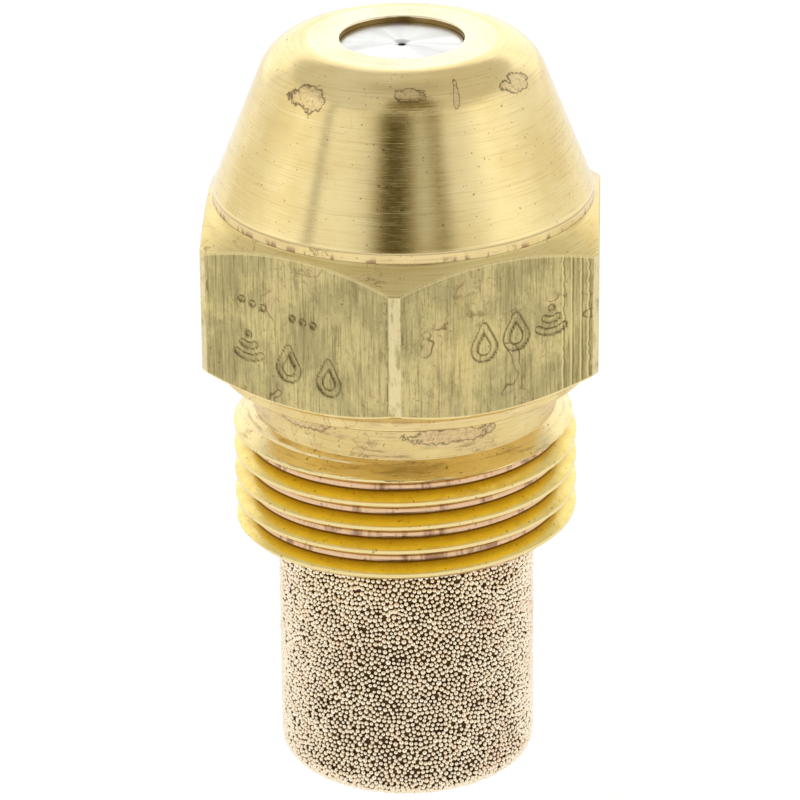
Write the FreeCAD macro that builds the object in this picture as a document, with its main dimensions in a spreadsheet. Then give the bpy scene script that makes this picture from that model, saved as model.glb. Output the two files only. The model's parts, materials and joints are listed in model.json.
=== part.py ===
# Oil burner nozzle: a brass body with a hexagon and an external thread, a steel orifice disc behind
# the hole in its tip, a steel swirl cone, a brass retaining screw and a sintered bronze filter.
# Millimetres. Z is the axis of the nozzle and points to the spray tip. Z = 0 is the flat end of the
# external thread, which seats in the adapter. One corner of the hexagon points to -Y.

import FreeCAD, Part
import os
import re
import Sketcher
from FreeCAD import Vector

SIZES = [
    # nozzle body, outside
    ("body_length", 21.0, "seat to the flat tip"),
    ("hex_flats", 16.0, "across the flats"),
    ("corner_trim", 0.12, "turned off each corner of the hexagon"),
    ("hex_slope", 30, "slope of the chamfers at both ends of the hexagon, degrees"),
    ("hex_base", 7.04, "seat to the underside of the hexagon"),
    ("land_step", 0.3, "turned land under the hexagon, inside the flats"),
    ("land_height", 0.42, "height of that land"),
    ("band_base", 14.23, "seat to the lower edge of the band under the cone"),
    ("band_step", 0.25, "the band and the foot of the cone, inside the flats"),
    ("band_height", 0.49, "height of the band"),
    ("cone_top", 10.55, "width of the cone where it would meet the flat tip"),
    ("tip_round", 2.1, "radius between the cone and the flat tip"),
    ("thread_diameter", 14.2, "crests of the 9/16-24 UNEF thread"),
    ("thread_pitch", 1.0583, "24 turns to the inch"),
    ("thread_start", 0.93, "how far below the seat the thread's groove starts, at +X"),
    ("thread_bevel", 34, "slope of the bevel above the thread, degrees"),
    ("end_chamfer", 0.26, "chamfer on the thread's seat end"),
    ("neck_base", 5.18, "seat to the bottom of the neck"),
    ("neck_step", 0.22, "neck inside the roots of the thread"),
    # nozzle body, inside
    ("mouth_wall", 0.94, "roots of the thread to the plain bore at the seat"),
    ("mouth_depth", 5.5, "seat to the top of that bore"),
    ("lock_step", 0.55, "plain bore to the roots of the internal thread"),
    ("lock_pitch", 0.75, "pitch of the internal thread, M10 x 0.75"),
    ("lock_runout", 0.5, "internal thread past the top of the screw's thread"),
    ("chamber_step", 0.67, "crests of the internal thread to the bore above it"),
    ("tip_lip", 0.8, "thickness of the lip that holds the disc"),
    ("tip_hole", 5.05, "hole in the tip"),
    # orifice disc
    ("disc_thickness", 1.8, "flange of the disc"),
    ("face_recess", 0.24, "flat tip down to the face of the disc"),
    ("orifice_diameter", 0.3, "spray orifice"),
    ("seat_mouth", 4.0, "wide end of the conical seat, a right angle across"),
    # swirl cone
    ("cone_gap", 0.04, "oil film between the seat and the cone, along the axis"),
    ("cone_end", 1.4, "flat end of the cone, which leaves the swirl chamber"),
    ("shoulder_gap", 0.3, "underside of the disc down to the shoulder of the cone"),
    ("shoulder_height", 0.6, "shoulder between the collar and the cone"),
    ("collar_height", 2.2, "collar that centres the cone in the bore"),
    ("flute_diameter", 1.5, "oil flutes along the collar"),
    ("slot_width", 0.3, "tangential slots"),
    ("slot_depth", 0.25, "tangential slots"),
    ("slot_offset", 0.4, "slot to the axis of the cone"),
    # retaining screw
    ("thread_play", 0.06, "radial play of the screw in its thread"),
    ("nose_length", 2.9, "nose that presses on the swirl cone"),
    ("nose_gap", 0.72, "ring of oil between the nose and the bore"),
    ("spigot_length", 4.3, "spigot that carries the filter"),
    ("driver_width", 1.2, "driver slot across the spigot"),
    ("driver_depth", 1.2, "driver slot across the spigot"),
    ("oil_bore", 3.0, "oil bore along the screw"),
    ("cross_hole", 1.2, "four outlets from the oil bore"),
    ("cross_setback", 1.4, "top of the nose down to the outlets"),
    # sintered filter
    ("filter_gap", 0.19, "filter to the plain bore around it"),
    ("filter_wall", 1.41, "side wall of the filter"),
    ("filter_reach", 10.9, "seat down to the bottom of the filter"),
    ("filter_floor", 1.5, "closed end of the filter"),
    ("filter_round", 1.0, "rounded edge at the bottom of the filter"),
    # fits
    ("sliding_fit", 0.02, "radial clearance of the disc and the cone in the body"),
]
ALIASES = [alias for alias, size, note in SIZES]

# Radii and levels that several features share, in the names of SIZES. The depth and the flat of a
# thread are standard shares of its pitch.
THREAD_CREST = "(thread_diameter / 2)"
THREAD_ROOT = "(thread_diameter / 2 - 0.576 * thread_pitch)"
THREAD_FLAT = "0.19 * thread_pitch"
MOUTH = f"({THREAD_ROOT} - mouth_wall)"
LOCK_ROOT = f"({MOUTH} - lock_step)"
LOCK_CREST = f"({LOCK_ROOT} - 0.5413 * lock_pitch)"
LOCK_FLAT = "lock_pitch / 8"
CHAMBER = f"({LOCK_CREST} - chamber_step)"
SLIDING = f"({CHAMBER} - sliding_fit)"
SCREW_CREST = f"({LOCK_ROOT} - thread_play)"
SCREW_ROOT = f"({LOCK_ROOT} - 0.6134 * lock_pitch - thread_play)"
SCREW_FLAT = "lock_pitch / 4"
FILTER_OUTSIDE = f"({MOUTH} - filter_gap)"
FILTER_INSIDE = f"({FILTER_OUTSIDE} - filter_wall)"
CHAMBER_TOP = "(body_length - tip_lip)"
DISC_BASE = f"({CHAMBER_TOP} - disc_thickness)"
COLLAR_BASE = f"({DISC_BASE} - shoulder_gap - shoulder_height - collar_height)"
SCREW_LENGTH = f"({COLLAR_BASE} - nose_length - mouth_depth)"
LOCK_TOP = f"({COLLAR_BASE} - nose_length + lock_runout)"
HALF_VEE = 30  # degrees, half of a 60 degree thread form


def linked(text):
    """An expression in the names of SIZES, as the document's own expression."""
    return re.sub(r"[a-z]+_[a-z_]+", lambda word: "Sizes." + word.group() if word.group() in ALIASES
                  else word.group(), text)


def make_sheet(doc):
    """The spreadsheet of driving dimensions."""
    sheet = doc.addObject("Spreadsheet::Sheet", "Sizes")
    for row, (alias, size, note) in enumerate(SIZES, start=1):
        sheet.set(f"A{row}", alias)
        sheet.set(f"B{row}", str(size))
        sheet.set(f"C{row}", note)
        sheet.setAlias(f"B{row}", alias)
    doc.recompute()
    return sheet


def origin_feature(body, role):
    """One of the body's own base planes or axes."""
    return next(feature for feature in body.Origin.OriginFeatures if feature.Role == role)


def number(owner, text):
    """What an expression comes to now."""
    return float(owner.evalExpression(linked(text)))


def new_sketch(body, name, role, offset="0"):
    """A sketch on a base plane of the body, moved along the plane's normal."""
    sketch = body.newObject("Sketcher::SketchObject", name)
    sketch.AttachmentSupport = (origin_feature(body, role), "")
    sketch.MapMode = "FlatFace"
    sketch.setExpression("AttachmentOffset.Base.z", linked(offset))
    body.Document.recompute()
    return sketch


def hold_point(sketch, geometry, end, across, up):
    """Dimensions one point of the sketch from its origin."""
    for direction, text in (("DistanceX", across), ("DistanceY", up)):
        size = number(sketch, text)
        index = sketch.addConstraint(Sketcher.Constraint(direction, -1, 1, geometry, end, size))
        sketch.setExpression(f"Constraints[{index}]", linked(text))


def draw_outline(sketch, corners):
    """A closed outline of straight lines through the corners, each corner dimensioned."""
    points = [Vector(number(sketch, across), number(sketch, up), 0) for across, up in corners]
    count = len(points)
    for i in range(count):
        sketch.addGeometry(Part.LineSegment(points[i], points[(i + 1) % count]))
    for i in range(count):
        sketch.addConstraint(Sketcher.Constraint("Coincident", i, 2, (i + 1) % count, 1))
    for i, (across, up) in enumerate(corners):
        hold_point(sketch, i, 1, across, up)


def draw_circle(sketch, across, up, radius):
    """A circle with its centre and radius dimensioned."""
    centre = Vector(number(sketch, across), number(sketch, up), 0)
    circle = sketch.addGeometry(Part.Circle(centre, Vector(0, 0, 1), number(sketch, radius)))
    index = sketch.addConstraint(Sketcher.Constraint("Radius", circle, number(sketch, radius)))
    sketch.setExpression(f"Constraints[{index}]", linked(radius))
    hold_point(sketch, circle, 3, across, up)


def add_turned(body, kind, name, corners, angle=360):
    """A Revolution or Groove about Z of an outline given as radius and height."""
    sketch = new_sketch(body, name + "_outline", "XZ_Plane")
    draw_outline(sketch, corners)
    feature = body.newObject("PartDesign::" + kind, name)
    feature.Profile = sketch
    feature.ReferenceAxis = (sketch, ["V_Axis"])
    feature.Angle = angle
    feature.Refine = False
    body.Document.recompute()
    return feature


def add_prism(body, kind, name, sketch, length, midplane=False, reverse=False):
    """A Pad or Pocket of a sketch."""
    feature = body.newObject("PartDesign::" + kind, name)
    feature.Profile = sketch
    feature.setExpression("Length", linked(length))
    feature.Midplane = midplane
    feature.Reversed = reverse
    feature.Refine = False
    body.Document.recompute()
    return feature


def add_pattern(body, name, feature, count):
    """Copies of a feature spread evenly about Z."""
    pattern = body.newObject("PartDesign::PolarPattern", name)
    pattern.Originals = [feature]
    pattern.Axis = (origin_feature(body, "Z_Axis"), [""])
    pattern.Angle = 360
    pattern.Occurrences = count
    pattern.Refine = False
    body.Tip = pattern
    body.Document.recompute()
    return pattern


def cut_thread(body, name, vee, pitch, run):
    """A right-hand helical cut of the outline vee, given as radius and height, over the height run."""
    sketch = new_sketch(body, name + "_outline", "XZ_Plane")
    draw_outline(sketch, vee)
    feature = body.newObject("PartDesign::SubtractiveHelix", name)
    feature.Profile = sketch
    feature.ReferenceAxis = (sketch, ["V_Axis"])
    feature.Mode = "pitch-height-angle"
    feature.setExpression("Pitch", linked(pitch))
    feature.setExpression("Height", linked(run))
    feature.LeftHanded = False
    feature.Refine = False
    body.Document.recompute()
    return feature


def vee_cut(root, crest, flat, level):
    """The outline of a 60 degree groove: its flat at root, its sides carried a little past crest."""
    past = "0.1"
    depth = f"abs({crest} - {root}) + {past}"
    wall = f"({crest} + {past} * ({crest} - {root}) / abs({crest} - {root}))"
    half, spread = f"{flat} / 2", f"({depth}) * tan({HALF_VEE})"
    return [
        (root, f"{level} - {half}"), (wall, f"{level} - {half} - {spread}"),
        (wall, f"{level} + {half} + {spread}"), (root, f"{level} + {half}"),
    ]


def round_edge(body, name, base, radius, level, size):
    """A fillet on the circular edge of base that has this radius and level."""
    wanted = (number(base, radius), number(base, level))
    names = []
    for i, edge in enumerate(base.Shape.Edges, start=1):
        if not isinstance(edge.Curve, Part.Circle):
            continue
        found = (edge.Curve.Radius, edge.Curve.Center.z)
        if max(abs(a - b) for a, b in zip(found, wanted)) < 1e-4:
            names.append(f"Edge{i}")
    fillet = body.newObject("PartDesign::Fillet", name)
    fillet.Base = (base, names)
    fillet.setExpression("Radius", linked(size))
    fillet.Refine = False
    body.Document.recompute()
    return fillet


def make_nozzle_body(doc):
    """Hexagon bar turned outside and inside, with the adapter's thread and the screw's thread."""
    body = doc.addObject("PartDesign::Body", "nozzle_body")
    # The shank is six sectors, so that each face of the thread's crest is short.
    sectors = 6
    sector = add_turned(body, "Revolution", "shank_sector", [
        ("0", "0"), (THREAD_CREST, "0"), (THREAD_CREST, "hex_base"), ("0", "hex_base"),
    ], 360 / sectors)
    add_pattern(body, "shank", sector, sectors)

    bar = new_sketch(body, "bar_section", "XY_Plane", "hex_base")
    side, half_point, point = "hex_flats / 2", "hex_flats / sqrt(12)", "hex_flats / sqrt(3)"
    draw_outline(bar, [
        ("0", "-" + point), (side, "-" + half_point), (side, half_point),
        ("0", point), ("-" + side, half_point), ("-" + side, "-" + half_point),
    ])
    add_prism(body, "Pad", "bar", bar, "body_length - hex_base")

    clear = "hex_flats"
    corner = f"({point} - corner_trim)"
    band, land = "(hex_flats / 2 - band_step)", "(hex_flats / 2 - land_step)"
    add_turned(body, "Groove", "turned_outside", [
        ("cone_top / 2", "body_length"), (band, "band_base + band_height"), (band, "band_base"),
        (corner, f"band_base - ({corner} - {band}) * tan(hex_slope)"),
        (corner, f"hex_base + land_height + ({corner} - {land}) * tan(hex_slope)"),
        (land, "hex_base + land_height"), (land, "hex_base"),
        (clear, "hex_base"), (clear, "body_length"),
    ])
    neck = f"({THREAD_ROOT} - neck_step)"
    add_turned(body, "Groove", "neck", [
        (neck, "hex_base"), (neck, "neck_base"),
        (clear, f"neck_base - ({clear} - {neck}) * tan(thread_bevel)"), (clear, "hex_base"),
    ])
    add_turned(body, "Groove", "seat_chamfer", [
        (THREAD_CREST + " - end_chamfer", "0"), (THREAD_CREST + " + end_chamfer", "2 * end_chamfer"),
        (THREAD_CREST + " + end_chamfer", "0"),
    ])
    hole = "tip_hole / 2"
    bored = add_turned(body, "Groove", "bored_inside", [
        ("0", "0"), (MOUTH, "0"), (MOUTH, "mouth_depth"),
        (LOCK_CREST, f"mouth_depth + ({MOUTH} - {LOCK_CREST}) * tan({HALF_VEE})"),
        (LOCK_CREST, LOCK_TOP), (CHAMBER, LOCK_TOP + " + chamber_step"),
        (CHAMBER, CHAMBER_TOP), (hole, CHAMBER_TOP), (hole, "body_length"), ("0", "body_length"),
    ])
    round_edge(body, "tip_edge", bored, "cone_top / 2", "body_length", "tip_round")

    cut_thread(body, "adapter_thread", vee_cut(THREAD_ROOT, THREAD_CREST, THREAD_FLAT, "-thread_start"),
               "thread_pitch", "thread_start + (neck_base + hex_base) / 2")
    low = "(mouth_depth - lock_pitch)"
    cut_thread(body, "lock_thread", vee_cut(LOCK_ROOT, LOCK_CREST, LOCK_FLAT, low),
               "lock_pitch", f"{LOCK_TOP} + lock_pitch - {low}")
    return body


def make_orifice_disc(doc):
    """Steel disc with a face in the tip hole, a conical seat behind it and the spray orifice."""
    body = doc.addObject("PartDesign::Body", "orifice_disc")
    face, mouth, hole = "tip_hole / 2 - sliding_fit", "seat_mouth / 2", "orifice_diameter / 2"
    face_top = "disc_thickness + tip_lip - face_recess"
    add_turned(body, "Revolution", "disc", [
        (mouth, "0"), (SLIDING, "0"), (SLIDING, "disc_thickness"), (face, "disc_thickness"),
        (face, face_top), (hole, face_top), (hole, f"{mouth} - {hole}"),
    ])
    body.setExpression("Placement.Base.z", linked(DISC_BASE))
    return body


def make_swirl_cone(doc):
    """Steel plug whose cone fits the disc's seat, with tangential slots and flutes for the oil."""
    body = doc.addObject("PartDesign::Body", "swirl_cone")
    end, shoulder_top = "cone_end / 2", "(collar_height + shoulder_height)"
    foot = "(seat_mouth / 2 + shoulder_gap - cone_gap)"
    add_turned(body, "Revolution", "plug", [
        ("0", "0"), (SLIDING, "0"), (SLIDING, "collar_height"), (foot, "collar_height"),
        (foot, shoulder_top), (end, f"{shoulder_top} + {foot} - {end}"),
        ("0", f"{shoulder_top} + {foot} - {end}"),
    ])
    outlets = 4
    flute = new_sketch(body, "flute_section", "XY_Plane")
    draw_circle(flute, SLIDING, "0", "flute_diameter / 2")
    flute_cut = add_prism(body, "Pocket", "flute", flute, "collar_height", reverse=True)
    add_pattern(body, "flutes", flute_cut, outlets)

    slot = new_sketch(body, "slot_outline", "XZ_Plane", "slot_offset")
    level = f"({shoulder_top} + {foot})"
    sunk = "slot_depth * sqrt(2)"
    draw_outline(slot, [
        ("0", f"{level} - {sunk}"), (foot, f"{shoulder_top} - {sunk}"), (f"2 * {foot}", shoulder_top),
        (f"2 * {foot}", f"{level} + {foot}"), ("0", f"{level} + {foot}"),
    ])
    slot_cut = add_prism(body, "Pocket", "slot", slot, "slot_width", midplane=True)
    add_pattern(body, "slots", slot_cut, outlets)
    body.setExpression("Placement.Base.z", linked(COLLAR_BASE))
    return body


def make_retaining_screw(doc):
    """Brass screw that presses the swirl cone up, with a spigot for the filter and oil passages."""
    body = doc.addObject("PartDesign::Body", "retaining_screw")
    nose = f"({CHAMBER} - nose_gap)"
    top = f"({COLLAR_BASE} - mouth_depth)"
    bevel = f"({SCREW_CREST} - {SCREW_ROOT})"
    add_turned(body, "Revolution", "turned", [
        ("0", "-spigot_length"), (FILTER_INSIDE, "-spigot_length"), (FILTER_INSIDE, "0"),
        (SCREW_ROOT, "0"), (SCREW_CREST, bevel), (SCREW_CREST, f"{SCREW_LENGTH} - {bevel}"),
        (SCREW_ROOT, SCREW_LENGTH), (nose, SCREW_LENGTH), (nose, top), ("0", top),
    ])
    add_turned(body, "Groove", "oil_passage", [
        ("0", "-spigot_length"), ("oil_bore / 2", "-spigot_length"),
        ("oil_bore / 2", f"{top} - cross_setback"), ("0", f"{top} - cross_setback + oil_bore / 4"),
    ])
    for name, role in (("outlet_x", "YZ_Plane"), ("outlet_y", "XZ_Plane")):
        hole = new_sketch(body, name + "_circle", role)
        draw_circle(hole, "0", f"{top} - cross_setback", "cross_hole / 2")
        add_prism(body, "Pocket", name, hole, f"4 * {nose}", midplane=True)
    slot = new_sketch(body, "driver_outline", "XZ_Plane")
    half = "driver_width / 2"
    draw_outline(slot, [
        ("-" + half, "-2 * spigot_length"), (half, "-2 * spigot_length"),
        (half, "driver_depth - spigot_length"), ("-" + half, "driver_depth - spigot_length"),
    ])
    add_prism(body, "Pocket", "driver_slot", slot, f"4 * {FILTER_INSIDE}", midplane=True)
    low = "-2 * lock_pitch"
    cut_thread(body, "screw_thread",
               vee_cut(SCREW_ROOT, SCREW_CREST, SCREW_FLAT, low + " + lock_pitch / 2"),
               "lock_pitch", SCREW_LENGTH + " + 3 * lock_pitch")
    body.setExpression("Placement.Base.z", linked("mouth_depth"))
    return body


def make_sintered_filter(doc):
    """Sintered bronze cup pressed on the screw's spigot."""
    body = doc.addObject("PartDesign::Body", "sintered_filter")
    rim = "(mouth_depth + filter_reach)"
    cup = add_turned(body, "Revolution", "cup", [
        ("0", "0"), (FILTER_OUTSIDE, "0"), (FILTER_OUTSIDE, rim), (FILTER_INSIDE, rim),
        (FILTER_INSIDE, "filter_floor"), ("0", "filter_floor"),
    ])
    round_edge(body, "bottom_edge", cup, FILTER_OUTSIDE, "0", "filter_round")
    body.setExpression("Placement.Base.z", linked("-filter_reach"))
    return body


def check(doc, bodies):
    """Stops if an object of the document failed or a piece isn't one valid solid."""
    failed = [item.Label for item in doc.Objects if {"Invalid", "Error"} & set(item.State)]
    if failed:
        raise RuntimeError(f"failed: {failed}")
    for body in bodies:
        if body.Shape.isNull() or not body.Shape.isValid() or len(body.Shape.Solids) != 1:
            raise RuntimeError(f"{body.Label} isn't one valid solid")


def main():
    doc = FreeCAD.newDocument("oil_burner_nozzle")
    make_sheet(doc)
    makers = (make_nozzle_body, make_orifice_disc, make_swirl_cone, make_retaining_screw,
              make_sintered_filter)
    bodies = [make(doc) for make in makers]
    doc.recompute()
    check(doc, bodies)
    os.makedirs("parts", exist_ok=True)
    for body in bodies:
        body.Shape.exportStep(f"parts/{body.Label}.step")
        box = body.Shape.BoundBox
        print(f"{body.Label}: {body.Shape.Volume:.2f} mm3, Z {box.ZMin:.3f} to {box.ZMax:.3f}")


main()
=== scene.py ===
# Looks of the oil burner nozzle: turned brass, a steel orifice disc and a sintered bronze filter.
# Lengths are in millimetres until put_mesh() turns them into metres. Z is the nozzle's axis.

import json
import math

import bmesh
import bpy
import numpy as np
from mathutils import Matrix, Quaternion, Vector
from mathutils.kdtree import KDTree


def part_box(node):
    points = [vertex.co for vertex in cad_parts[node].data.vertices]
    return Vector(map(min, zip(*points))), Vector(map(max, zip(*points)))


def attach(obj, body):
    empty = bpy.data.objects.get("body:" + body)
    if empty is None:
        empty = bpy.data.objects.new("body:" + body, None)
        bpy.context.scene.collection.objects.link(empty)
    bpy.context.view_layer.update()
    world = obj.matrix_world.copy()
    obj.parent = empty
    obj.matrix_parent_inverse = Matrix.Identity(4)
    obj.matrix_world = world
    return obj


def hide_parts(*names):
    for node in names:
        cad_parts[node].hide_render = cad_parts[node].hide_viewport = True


MM = 0.001

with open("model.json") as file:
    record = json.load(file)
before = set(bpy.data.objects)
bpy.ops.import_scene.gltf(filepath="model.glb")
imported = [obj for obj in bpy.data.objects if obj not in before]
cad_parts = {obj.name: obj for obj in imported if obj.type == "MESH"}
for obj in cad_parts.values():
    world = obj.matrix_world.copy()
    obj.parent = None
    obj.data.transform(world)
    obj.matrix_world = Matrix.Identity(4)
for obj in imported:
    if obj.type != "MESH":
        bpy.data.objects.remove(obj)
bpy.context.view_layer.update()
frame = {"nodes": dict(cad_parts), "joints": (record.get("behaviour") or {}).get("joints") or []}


def millimetres(node):
    """The lowest and highest corners of a CAD node."""
    low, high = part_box(node)
    return low / MM, high / MM


BODY_HIGH = millimetres("nozzle_body")[1]
DISC_LOW, DISC_HIGH = millimetres("orifice_disc")
FILTER_LOW, FILTER_HIGH = millimetres("sintered_filter")
TRAVEL = max(joint["range_m"][1] for joint in frame["joints"] if joint["type"] == "slide") / MM

# The body's outline, as the CAD part has it.
TIP = BODY_HIGH.z
FLATS = BODY_HIGH.x
CORNERS = BODY_HIGH.y
HOLE = 2.525
LIP = 0.8
BAND, BAND_LOW, BAND_TOP = FLATS - 0.25, 14.23, 14.72
CONE_TOP, TIP_ROUND = 5.275, 2.1
HEX_SLOPE = math.tan(math.radians(30))
LAND, LAND_TOP, HEX_BASE = FLATS - 0.3, 7.46, 7.04
CREST, PITCH, THREAD_START = 7.1, 1.0583, 0.93
ROOT = CREST - 0.576 * PITCH
NECK, NECK_BASE = ROOT - 0.22, 5.18
THREAD_BEVEL = math.tan(math.radians(34))
END_CHAMFER = 0.26
ROOT_FLAT = 0.095  # half the flat at the thread's root, in pitches
MOUTH, MOUTH_DEPTH = ROOT - 0.94, 5.5
LOCK_ROOT, LOCK_PITCH, LOCK_TOP = MOUTH - 0.55, 0.75, 12.9
CHAMBER, CHAMBER_BASE = LOCK_ROOT - 0.5413 * LOCK_PITCH - 0.67, 13.57
ORIFICE = 0.15
EDGE = 0.045  # how far the sharp edges are broken

# What the surface of the body is, for its materials.
INSIDE, RING, CONE, TURNED, CHAMFER, HEXAGON, NECKED, THREAD, SEAT = range(9)


# ---------------------------------------------------------------- meshes

def put_mesh(name, points, faces, body, materials, material_of=None, sharp=28, marks=None):
    """A smooth mesh object from points in millimetres, riding on a CAD body."""
    mesh = bpy.data.meshes.new(name)
    mesh.vertices.add(len(points))
    mesh.vertices.foreach_set("co", (np.asarray(points, np.float32) * MM).ravel())
    faces = np.asarray(faces, np.int32)
    mesh.loops.add(faces.size)
    mesh.loops.foreach_set("vertex_index", faces.ravel())
    mesh.polygons.add(len(faces))
    mesh.polygons.foreach_set("loop_start", np.arange(0, faces.size, faces.shape[1], dtype=np.int32))
    for material in materials:
        mesh.materials.append(material)
    if material_of is not None:
        mesh.polygons.foreach_set("material_index", np.asarray(material_of, np.int32))
    if marks is not None:
        mark = mesh.attributes.new("mark", "FLOAT", "POINT")
        mark.data.foreach_set("value", np.asarray(marks, np.float32))
    mesh.update(calc_edges=True)
    if sharp:
        weld(mesh)
    mesh.polygons.foreach_set("use_smooth", np.ones(len(mesh.polygons), bool))
    if sharp:
        mesh.set_sharp_from_angle(angle=math.radians(sharp))
    piece = bpy.data.objects.new(name, mesh)
    bpy.context.scene.collection.objects.link(piece)
    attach(piece, body)
    return piece


def weld(mesh):
    """Joins points that lie on each other and drops the faces that come to nothing."""
    work = bmesh.new()
    work.from_mesh(mesh)
    bmesh.ops.remove_doubles(work, verts=work.verts, dist=1e-4 * MM)
    work.to_mesh(mesh)
    work.free()


def ring_faces(index):
    """Quads of a closed grid. Each row of index closes on its own last column."""
    index = np.vstack([index, index[:1]])
    corners = [index[:-1, :-1], index[1:, :-1], index[1:, 1:], index[:-1, 1:]]
    return np.stack([corner.ravel() for corner in corners], axis=1)


def turned_mesh(name, rows, columns, body, materials):
    """A closed ring of revolution through rows of radius and height."""
    angle = np.arange(columns) * 2 * np.pi / columns
    radius, height = np.array(rows).T
    points = np.stack([radius[:, None] * np.cos(angle), radius[:, None] * np.sin(angle),
                       np.broadcast_to(height[:, None], (len(rows), columns))], axis=2)
    index = np.arange(len(rows) * columns).reshape(len(rows), columns)
    index = np.hstack([index, index[:, :1]])
    return put_mesh(name, points.reshape(-1, 3), ring_faces(index), body, materials)


def smooth_noise(angle, height, seed, waves, around):
    """A smooth field of about -1 to 1 round the axis, a sum of sine waves."""
    pick = np.random.default_rng(seed)
    total = np.zeros(np.broadcast(angle, height).shape)
    for _ in range(waves):
        turns = pick.integers(1, around + 1)
        total += np.sin(turns * angle + pick.uniform(0, 2 * np.pi)
                        + height * pick.uniform(-1, 1)) * pick.uniform(0.4, 1)
    return total / math.sqrt(waves)


# ---------------------------------------------------------------- nozzle body

def hex_columns(per_face=108, per_corner=6):
    """Angles round the axis, closer together on the trimmed corners. A corner points to -Y."""
    edge = math.acos(FLATS / CORNERS)
    turns = []
    for face in range(6):
        middle = math.radians(60 * face)
        turns.append(middle + np.arctan(np.linspace(-math.tan(edge), math.tan(edge), per_face + 1)))
        step = (math.pi / 3 - 2 * edge) / per_corner
        turns.append(middle + edge + step * np.arange(1, per_corner))
    return np.concatenate(turns)


def hex_radius(angle):
    """The radius of the hexagon with trimmed corners."""
    inside = (angle + math.pi / 6) % (math.pi / 3) - math.pi / 6
    return np.minimum(CORNERS, FLATS / np.cos(inside))


def thread_radius(angle, height):
    """The radius of the adapter thread before its bevel and chamfer."""
    turn = (height + THREAD_START) / PITCH - angle / (2 * np.pi)
    off_root = np.abs(turn - np.round(turn)) * PITCH
    side = (off_root - ROOT_FLAT * PITCH) / math.tan(math.radians(30))
    return np.clip(ROOT + side, ROOT, CREST)


def tip_rows():
    """Rows of the tip and the cone, as radius, height, material and edge mark."""
    slope = math.atan((BAND - CONE_TOP) / (TIP - BAND_TOP))
    turn = math.pi / 2 - slope
    middle = CONE_TOP - TIP_ROUND * math.tan(turn / 2)
    rows = [(HOLE, TIP - LIP, INSIDE, 0), (HOLE, TIP - 0.5 * LIP, INSIDE, 0), (HOLE, TIP - EDGE, INSIDE, 0),
            (HOLE + 0.3 * EDGE, TIP - 0.3 * EDGE, RING, 1)]
    rows += [(radius, TIP, RING, 0) for radius in np.linspace(HOLE + EDGE, middle - 0.02, 8)]
    for part in np.linspace(0, 1, 19):
        bend = part * turn
        rows.append((middle + TIP_ROUND * math.sin(bend), TIP - TIP_ROUND * (1 - math.cos(bend)), CONE,
                     part == 0))
    radius, height = rows[-1][:2]
    for part in np.linspace(0, 1, 25)[1:-1]:
        rows.append((radius + part * (BAND - radius), height + part * (BAND_TOP - height), CONE, 0))
    rows += [(BAND - 0.4 * EDGE, BAND_TOP + EDGE, CONE, 1), (BAND, BAND_TOP - 0.6 * EDGE, TURNED, 1)]
    rows += [(BAND, height, TURNED, 0) for height in np.linspace(BAND_TOP - 0.1, BAND_LOW + EDGE, 4)]
    return rows


def head_rows(angle):
    """Rows of the hexagon, each with a radius and height of its own at every angle."""
    around = hex_radius(angle)
    high, low = BAND_LOW - (around - BAND) * HEX_SLOPE, LAND_TOP + (around - LAND) * HEX_SLOPE
    rows = []
    for part in np.linspace(0, 1, 9):
        radius = BAND + EDGE + part * (around - BAND - 2 * EDGE)
        rows.append((radius, BAND_LOW - (radius - BAND) * HEX_SLOPE, CHAMFER, part == 1))
    for part in np.linspace(0, 1, 71):
        height = high - EDGE + part * (low - high + 2 * EDGE)
        rows.append((around, height, HEXAGON, part in (0, 1)))
    for part in np.linspace(1, 0, 9):
        radius = LAND + EDGE + part * (around - LAND - 2 * EDGE)
        rows.append((radius, LAND_TOP + (radius - LAND) * HEX_SLOPE, CHAMFER, part == 1))
    return rows


def shank_rows():
    """Rows of the land, the underside and the neck."""
    rows = [(LAND, height, TURNED, 0) for height in np.linspace(LAND_TOP - EDGE, HEX_BASE + EDGE, 4)]
    rows += [(radius, HEX_BASE, TURNED, 0) for radius in np.linspace(LAND - EDGE, NECK + 0.1, 5)]
    rows += [(NECK + 0.03, HEX_BASE - 0.03, NECKED, 0)]
    rows += [(NECK, height, NECKED, 0) for height in np.linspace(HEX_BASE - 0.1, NECK_BASE + 0.02, 14)]
    return rows


def thread_rows(angle, per_pitch=24):
    """Rows that climb with the thread, cut off by the bevel above it and the chamfer below it."""
    climb = (angle - angle[0]) / (2 * np.pi) * PITCH
    step = PITCH / per_pitch
    burr = 0.02 * np.abs(smooth_noise(angle, 0, 11, waves=40, around=90))
    rows = []
    for i in range(int(math.ceil((NECK_BASE + PITCH) / step)) + 1):
        height = np.clip(NECK_BASE - i * step + climb, 0, NECK_BASE)
        radius = thread_radius(angle, height)
        crest = np.clip((radius - CREST + 0.06) / 0.06, 0, 1)
        radius = radius - crest * burr * (0.5 + 0.5 * np.sin(7 * height))
        radius = np.minimum(radius, NECK + (NECK_BASE - height) / THREAD_BEVEL)
        radius = np.minimum(radius, CREST - END_CHAMFER + height)
        rows.append((radius, height, THREAD, crest))
    rows.append((radius - 0.05, 0, SEAT, 0))
    return rows


def inner_rows():
    """Rows of the seat, the mouth and the bore, back up to the tip."""
    rows = [(radius, 0, SEAT, 0) for radius in (6.3, 6.0, MOUTH + 0.1)]
    rows += [(MOUTH + 0.02, 0.02, INSIDE, 0)]
    rows += [(MOUTH, height, INSIDE, 0) for height in np.linspace(0.1, MOUTH_DEPTH, 6)]
    rows += [(LOCK_ROOT, MOUTH_DEPTH + 0.32, INSIDE, 0), (LOCK_ROOT, LOCK_TOP, INSIDE, 0),
             (CHAMBER, CHAMBER_BASE, INSIDE, 0), (CHAMBER, TIP - LIP, INSIDE, 0)]
    return rows


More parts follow.
